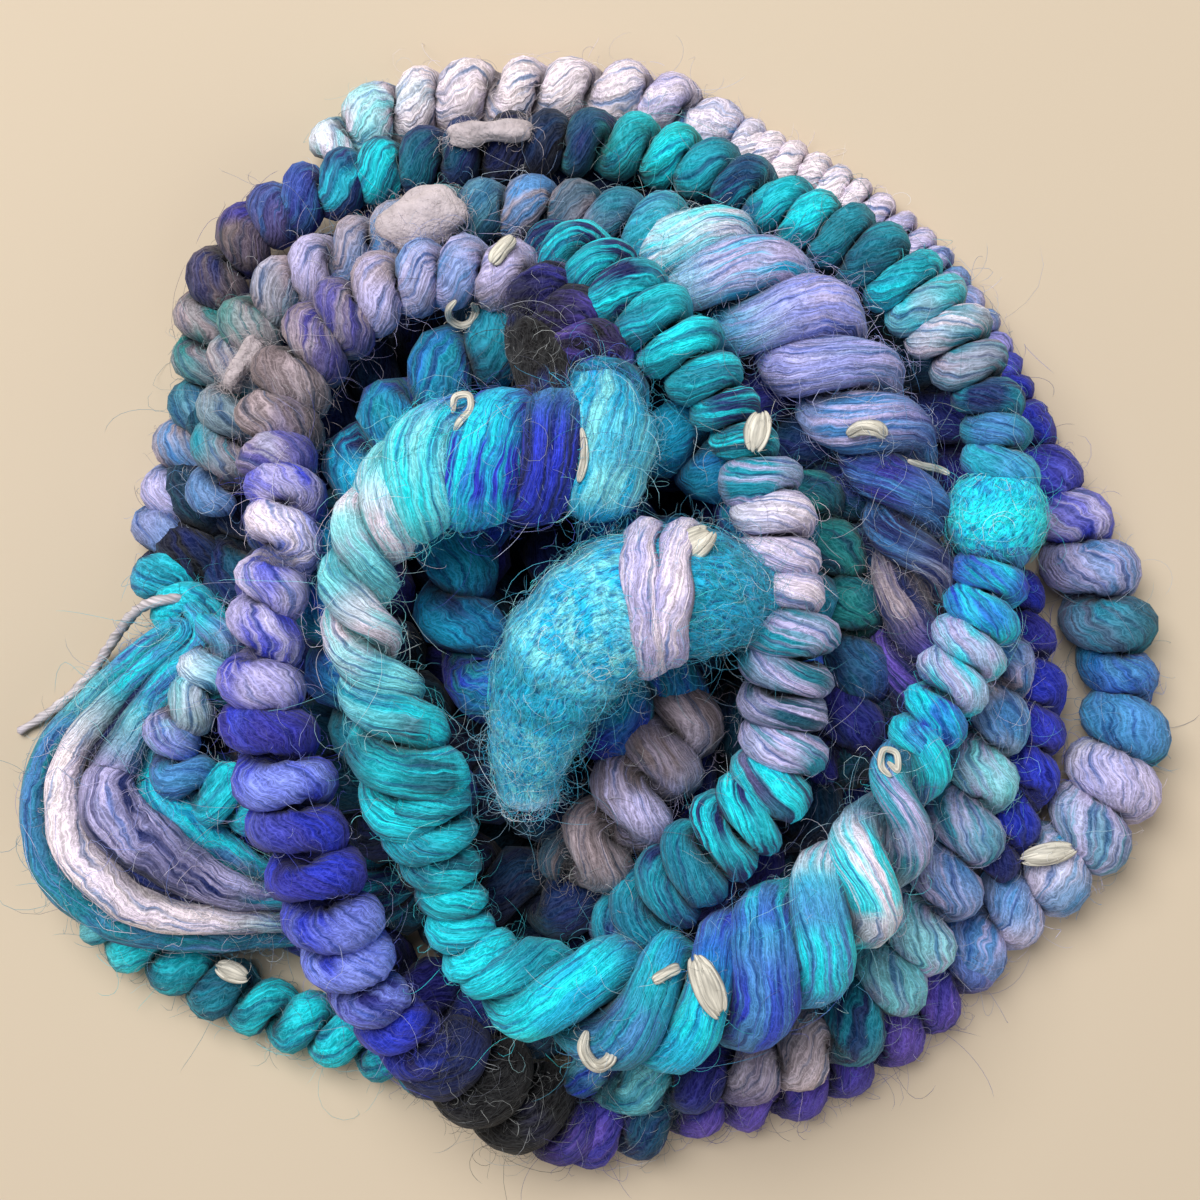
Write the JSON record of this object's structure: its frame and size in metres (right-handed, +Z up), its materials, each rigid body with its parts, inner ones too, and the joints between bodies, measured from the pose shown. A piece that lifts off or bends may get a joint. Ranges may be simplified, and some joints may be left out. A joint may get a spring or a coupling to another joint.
{
  "type": "handspun art yarn heap",
  "caption": "Heap of thick handspun art yarn: one beaded, multi-coloured strand piled in loose turns, with puffy slubs, silk locks, felt nubs and a thin loose end.",
  "frame": {"origin": "centre of the heap's outline, on the surface it lies on", "axes": "+Z up out of the heap; +Y to the back, the top of the picture; +X to the right"},
  "size_m": [0.1664, 0.1594, 0.0544],
  "materials": {
    "wool": "soft dyed wool with long streaks and a fuzzy halo",
    "core_thread": "pale spun thread",
    "silk": "glossy combed silk fibre",
    "felt": "matt felted wool"
  },
  "bodies": {
    "root": {"yarn": "wool", "loose_end": "core_thread", "silk_leaf": "silk", "silk_drop": "silk", "felt_bone": "felt", "felt_patch": "felt", "felt_lock": "felt", "white_lock": "silk", "cream_nub": "silk", "front_lock": "silk"}
  },
  "joints": []
}
